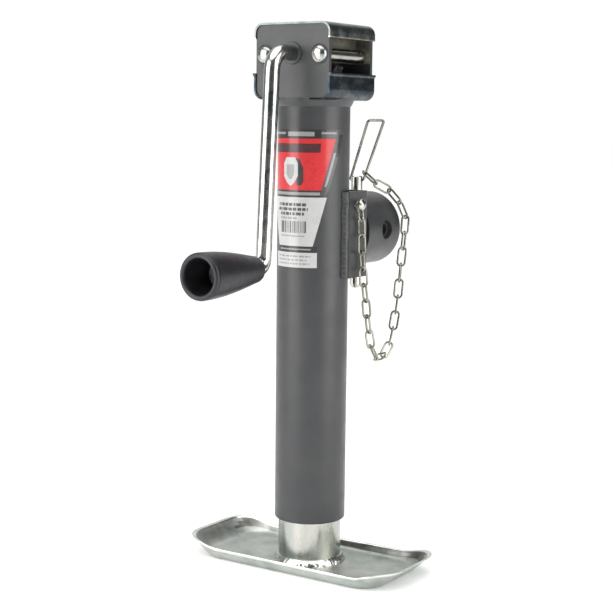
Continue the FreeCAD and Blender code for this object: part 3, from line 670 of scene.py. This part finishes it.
def add_chain():
    """First links turn with the handle; the loop rises with the pin while the far leg turns over."""
    mesh = NODES["tether_chain"].data
    turning, hanging = set(), set()
    for middle, link in split_links(mesh):
        chosen = turning if near_handle(middle) else hanging
        chosen.update(link)
    first = chain_piece("chain_first_links", mesh, turning)
    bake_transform(first, "pull_pin", "pin_handle", start=(0.036, 0.085, 0.284), end=(0.013, 0.0725, 0.3085))
    rest = chain_piece("chain_links", mesh, hanging)
    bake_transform(rest, "jack", "pull_pin", start=(0.037, 0.020, FAR_LEG_TOP_Z), end=(0.037, 0.050, LOOP_BOTTOM_Z))
    for vertex, weight in zip(rest.data.vertices, rest.data.attributes["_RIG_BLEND"].data):
        lifted = (FAR_LEG_TOP_Z - vertex.co.z) / (FAR_LEG_TOP_Z - LOOP_BOTTOM_Z)
        weight.value = 1.0 if vertex.co.y >= LOOP_MIDDLE_Y else min(1.0, max(0.0, lifted))


# ---------------------------------------------------------------- label
LABEL_R = 28.60
INK_THICK = 0.025
PATCH_STEPS, TALL_PATCH = 8, 4.0
DEGREES_PER_COLUMN = 4
FILM_EDGE = [(352, 86), (345, 86), (344.9, 69.6), (305, 45.2), (299.7, 43.0), (299.6, 54.9), (261.5, 33.1),
             (261.4, 40.0), (244.6, 40.0)]
# Lines of small print: ink, top, height, left and right ends in degrees.
SMALL_PRINT = [
    ("grey", 295.0, 2.3, -31, 22),
    ("grey", 291.4, 2.3, -35, 25),
    ("grey", 287.8, 2.3, -28, 19),
    ("light", 284.2, 1.8, -28, 7),
    ("light", 254.2, 1.3, -33, 30),
    ("light", 251.2, 1.3, -33, 24),
    ("light", 248.3, 1.3, -33, 28),
]


def label_patch(rows, layer):
    """Patch wrapped on the tube; each row is (z, left, right) with degrees from the tube's front."""
    radius = LABEL_R + INK_THICK * layer
    levels = []
    for (z0, l0, r0), (z1, l1, r1) in zip(rows, rows[1:]):
        count = PATCH_STEPS if abs(z1 - z0) > TALL_PATCH else 1
        for s in range(count):
            t = s / count
            levels.append((z0 + (z1 - z0) * t, l0 + (l1 - l0) * t, r0 + (r1 - r0) * t))
    levels.append(rows[-1])
    widest = max(right - left for _, left, right in levels)
    columns = max(2, math.ceil(widest / DEGREES_PER_COLUMN))
    vertices, faces = [], []
    for z, left, right in levels:
        for c in range(columns + 1):
            angle = math.radians(left + (right - left) * c / columns)
            vertices.append((radius * math.sin(angle) * MM, -radius * math.cos(angle) * MM, z * MM))
    width = columns + 1
    for i in range(len(levels) - 1):
        for c in range(columns):
            at = i * width + c
            faces.append((at, at + width, at + width + 1, at + 1))
    return vertices, faces


def film_edge(z):
    """Angle of the label's edge at a height."""
    for (z0, a0), (z1, a1) in zip(FILM_EDGE, FILM_EDGE[1:]):
        if z1 <= z <= z0:
            return a0 + (a1 - a0) * (z0 - z) / (z0 - z1)
    return FILM_EDGE[-1][1]


def band(top, bottom):
    """Rows of a strip across the whole label."""
    return [(z, -film_edge(z), film_edge(z)) for z in (top, bottom)]


def dashes(ink, layer, top, height, left, right, seed):
    """A line of plain blocks of uneven length, like small print seen from afar."""
    rng = random.Random(seed)
    blocks = []
    at = left
    while at < right:
        end = min(right, at + rng.uniform(3.0, 9.0))
        blocks.append((ink, layer, [(top, at, end), (top - height, at, end)]))
        at = end + rng.uniform(1.2, 2.4)
    return blocks


def label_art():
    """Every inked patch as (ink, layer, rows)."""
    art = [
        ("black", 1, [(352, -86, 45), (345.1, -86, 45)]),
        ("grey", 1, [(352, 45, 86), (345.1, 45, 86)]),
        ("black", 2, [(352, 45, 70), (351.3, 45, 70)]),
        ("light", 3, [(350.0, -60, -17), (348.2, -60, -17)]),
        ("light", 3, [(350.2, -11, 34), (346.8, -11, 34)]),
        ("light", 3, [(349.9, 45, 71), (348.6, 45, 71)]),
        ("red", 1, band(344.9, 305.1)),
        ("maroon", 2, [(341.2, -60, 44), (334.2, -60, 44)]),
        ("black", 2, [(329.6, -9, 10), (322, 4, 17), (312, 6, 17), (309, 6, 14)]),
        ("white", 3, [(330.4, -14, 3), (326, -20, 8), (316, -20, 8), (311, -13, 2), (308.6, -7, -4)]),
        ("light", 4, [(325, -13, 1), (317, -13, 1), (313.5, -8, -3)]),
        ("grey", 1, [(344.9, 69.6, 84), (325, 57.5, 71), (305, 45.2, 58), (301, 43.8, 52)]),
        ("black", 2, [(348, 76, 85), (344.9, 75.5, 84), (338, 72.0, 80), (331, 69.5, 75)]),
        ("light", 3, [(334, 66, 70.5), (318, 56.5, 61), (308, 50.5, 54)]),
        ("black", 2, band(305.0, 303.6)),
        ("light", 2, [(303.6, -46, 43.5), (301.3, -46, 43.5)]),
        ("black", 2, band(301.3, 299.7)),
        ("white", 1, band(299.6, 261.5)),
        ("light", 2, [(269.8, -27, 20), (268.9, -27, 20)]),
        ("black", 1, band(261.3, 256.5)),
        ("light", 2, [(259.6, -28, 30), (258.5, -28, 30)]),
        ("white", 1, band(256.5, 244.7)),
    ]
    for seed, (shade, top, height, left, right) in enumerate(SMALL_PRINT, 1):
        art += dashes(shade, 2, top, height, left, right, seed)
    return art + stripes()


def stripes():
    """Row of upright bars of uneven width."""
    rng = random.Random(8)
    bars = []
    at = -27.0
    while at < 20:
        wide = rng.uniform(0.8, 3.0)
        bars.append((rng.choice(("grey", "light")), 2, [(281, at, at + wide), (271.8, at, at + wide)]))
        at += wide + rng.uniform(0.5, 1.6)
    return bars


def add_label():
    """Printed film wrapped on the tube, one piece with a material for each ink."""
    inks = {
        "red": printed("label_red_ink", (0.52, 0.012, 0.017)),
        "maroon": printed("label_maroon_ink", (0.050, 0.006, 0.009)),
        "black": printed("label_black_ink", (0.012, 0.012, 0.013)),
        "white": printed("label_white_film", (0.46, 0.46, 0.455)),
        "grey": printed("label_grey_ink", (0.050, 0.051, 0.053)),
        "light": printed("label_light_ink", (0.25, 0.25, 0.25)),
    }
    vertices, faces, ink = [], [], []
    names = list(inks)
    for colour, layer, rows in label_art():
        patch_vertices, patch_faces = label_patch(rows, layer)
        start = len(vertices)
        vertices += patch_vertices
        faces += [tuple(start + v for v in face) for face in patch_faces]
        ink += [names.index(colour)] * len(patch_faces)
    film = new_piece("label_print", vertices, faces, list(inks.values()), ink, 60)
    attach(film, "jack")
    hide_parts("label")


add_foot_pan()
add_foot_weld()
add_bracket_welds()
add_housing_rivets()
add_housing_liners()
add_grip()
add_chain()
add_label()


# ---------------------------------------------------------------- camera, floor and light
CAMERA_PLACE = (0.61786, -0.94400, 0.35630)
CAMERA_YAW, CAMERA_PITCH, CAMERA_ROLL = 33.45, 7.33, 0.63
CAMERA_LENS = 83.3


def add_camera():
    """Camera in front and to the right of the jack, a little above its middle."""
    data = bpy.data.cameras.new("camera")
    data.sensor_width = 36.0
    data.lens = CAMERA_LENS
    camera = bpy.data.objects.new("camera", data)
    bpy.context.scene.collection.objects.link(camera)
    yaw, pitch, roll = (math.radians(angle) for angle in (CAMERA_YAW, CAMERA_PITCH, CAMERA_ROLL))
    forward = Vector((-math.sin(yaw) * math.cos(pitch), math.cos(yaw) * math.cos(pitch), -math.sin(pitch)))
    level = Vector((math.cos(yaw), math.sin(yaw), 0))
    above = level.cross(forward)
    right = level * math.cos(roll) + above * math.sin(roll)
    up = above * math.cos(roll) - level * math.sin(roll)
    turn = Matrix((right, up, -forward)).transposed()
    camera.matrix_world = Matrix.Translation(CAMERA_PLACE) @ turn.to_4x4()
    bpy.context.scene.camera = camera


def add_area_light(name, place, target, size, power):
    """Softbox aimed at a target and hidden from the camera."""
    data = bpy.data.lights.new(name, "AREA")
    data.shape = "RECTANGLE"
    data.size, data.size_y = size
    data.energy = power
    light = bpy.data.objects.new(name, data)
    bpy.context.scene.collection.objects.link(light)
    light.visible_camera = False
    light.location = place
    light.rotation_euler = (Vector(target) - Vector(place)).to_track_quat("-Z", "Y").to_euler()


def add_floor():
    """Wide pale floor that glows a little."""
    mesh = bmesh.new()
    bmesh.ops.create_circle(mesh, cap_ends=True, radius=12.0, segments=96)
    data = bpy.data.meshes.new("floor")
    mesh.to_mesh(data)
    mesh.free()
    floor = bpy.data.objects.new("floor", data)
    bpy.context.scene.collection.objects.link(floor)
    s = Shader("pale_floor", Roughness=0.85, Specular_IOR_Level=0.2, Emission_Color=(1, 1, 1, 1),
               Emission_Strength=0.16)
    s.feed("Base Color", s.ramp(s.noise(3), (0.3, (0.90, 0.90, 0.895)), (0.7, (0.92, 0.92, 0.915))))
    dress(floor, s.material)


# Brightness of the studio's walls by degrees round Z.
WALL_GREYS = [(-180, 0.30), (-150, 0.24), (-120, 0.30), (-92, 0.10), (-57, 0.06), (-22, 0.10), (5, 0.34),
              (35, 0.20), (48, 0.05), (88, 0.06), (102, 0.85), (150, 0.85), (165, 0.30)]


def add_world():
    """White studio seen directly; reflections meet dark gaps between the grey side walls."""
    world = bpy.data.worlds.new("studio")
    bpy.context.scene.world = world
    world.use_nodes = True
    tree = world.node_tree
    background = tree.nodes["Background"]
    background.inputs["Strength"].default_value = 1.0
    way = tree.nodes.new("ShaderNodeSeparateXYZ")
    tree.links.new(tree.nodes.new("ShaderNodeTexCoord").outputs["Generated"], way.inputs["Vector"])
    azimuth = tree.nodes.new("ShaderNodeMath")
    azimuth.operation = "ARCTAN2"
    tree.links.new(way.outputs["Y"], azimuth.inputs[0])
    tree.links.new(way.outputs["X"], azimuth.inputs[1])
    turn = tree.nodes.new("ShaderNodeMapRange")
    turn.inputs["From Min"].default_value = -math.pi
    turn.inputs["From Max"].default_value = math.pi
    tree.links.new(azimuth.outputs["Value"], turn.inputs["Value"])
    walls = tree.nodes.new("ShaderNodeValToRGB")
    elements = walls.color_ramp.elements
    while len(elements) < len(WALL_GREYS):
        elements.new(0.5)
    for element, (degrees, grey) in zip(elements, WALL_GREYS):
        element.position = (degrees + 180) / 360
        element.color = (grey, grey, grey, 1)
    tree.links.new(turn.outputs["Result"], walls.inputs["Fac"])
    sight = tree.nodes.new("ShaderNodeLightPath")
    shown = tree.nodes.new("ShaderNodeMix")
    shown.data_type = "RGBA"
    shown.inputs[MIX_B].default_value = (1, 1, 1, 1)
    tree.links.new(sight.outputs["Is Camera Ray"], shown.inputs["Factor"])
    tree.links.new(walls.outputs["Color"], shown.inputs[MIX_A])
    tree.links.new(shown.outputs[MIX_RESULT], background.inputs["Color"])


def add_lights():
    """A softbox on each side and a wide soft light from above."""
    target = (0, 0, 0.25)
    add_area_light("left_softbox", (-0.45, -0.90, 0.55), target, (0.9, 1.1), 9.5)
    add_area_light("right_softbox", (1.0, 0.06, 0.55), target, (0.8, 1.1), 8.0)
    data = bpy.data.lights.new("overhead", "SUN")
    data.energy = 2.3
    data.angle = math.radians(70)
    overhead = bpy.data.objects.new("overhead", data)
    bpy.context.scene.collection.objects.link(overhead)
    overhead.rotation_euler = (math.radians(8), 0, 0)


add_camera()
add_floor()
add_world()
add_lights()
bpy.context.scene.view_settings.view_transform = "Standard"
